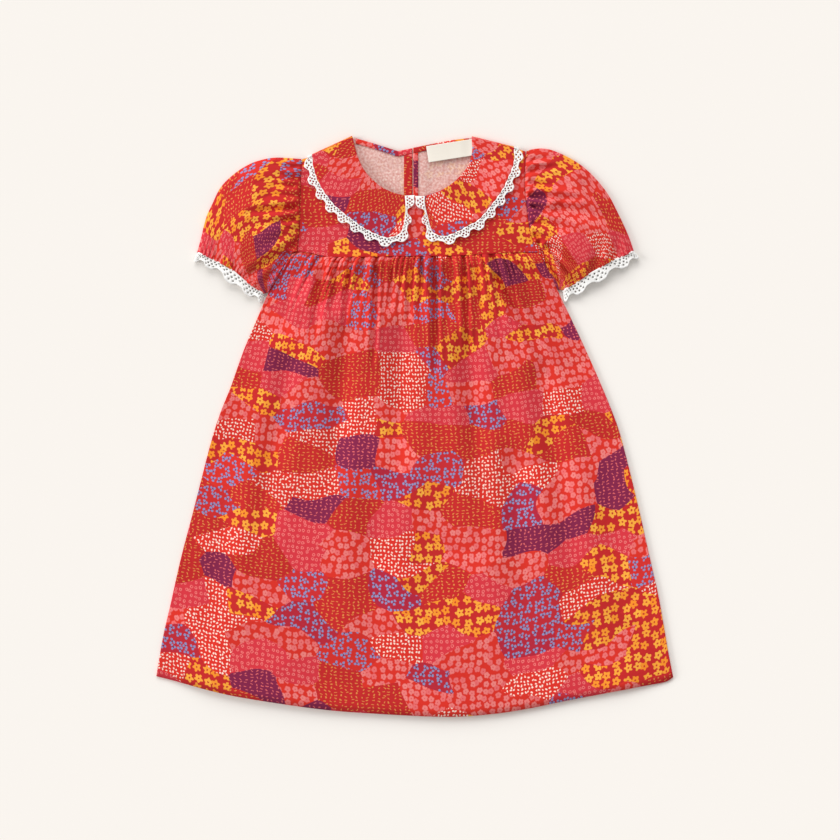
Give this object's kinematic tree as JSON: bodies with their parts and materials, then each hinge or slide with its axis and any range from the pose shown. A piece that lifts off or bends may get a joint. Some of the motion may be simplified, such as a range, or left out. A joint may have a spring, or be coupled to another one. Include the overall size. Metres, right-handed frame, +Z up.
{
  "type": "toddler dress",
  "caption": "Short-sleeved A-line dress with a gathered skirt, puff sleeves and a round lace-edged collar, laid flat on its back.",
  "frame": {"origin": "centre of the footprint, on the surface that the dress lies on", "axes": "+Z up out of the front of the dress, +Y from hem to neck, +X to the right in the picture"},
  "size_m": [0.5154, 0.5812, 0.0137],
  "materials": {
    "print_cotton": "printed cotton poplin",
    "lace": "crochet lace",
    "label_tape": "woven tape",
    "button_shell": "pearly resin"
  },
  "bodies": {
    "root": {"front_yoke": "print_cotton", "back_yoke_left": "print_cotton", "back_yoke_right": "print_cotton", "placket_left": "print_cotton", "placket_right": "print_cotton", "neck_binding_left": "print_cotton", "neck_binding_right": "print_cotton", "collar_left": "print_cotton", "collar_right": "print_cotton", "skirt_front": "print_cotton", "skirt_back": "print_cotton", "sleeve_left": "print_cotton", "sleeve_right": "print_cotton", "collar_lace_left": "lace", "collar_lace_right": "lace", "sleeve_lace_left": "lace", "sleeve_lace_right": "lace", "neck_label": "label_tape", "back_button_1": "button_shell", "back_button_2": "button_shell", "back_button_3": "button_shell"}
  },
  "joints": []
}
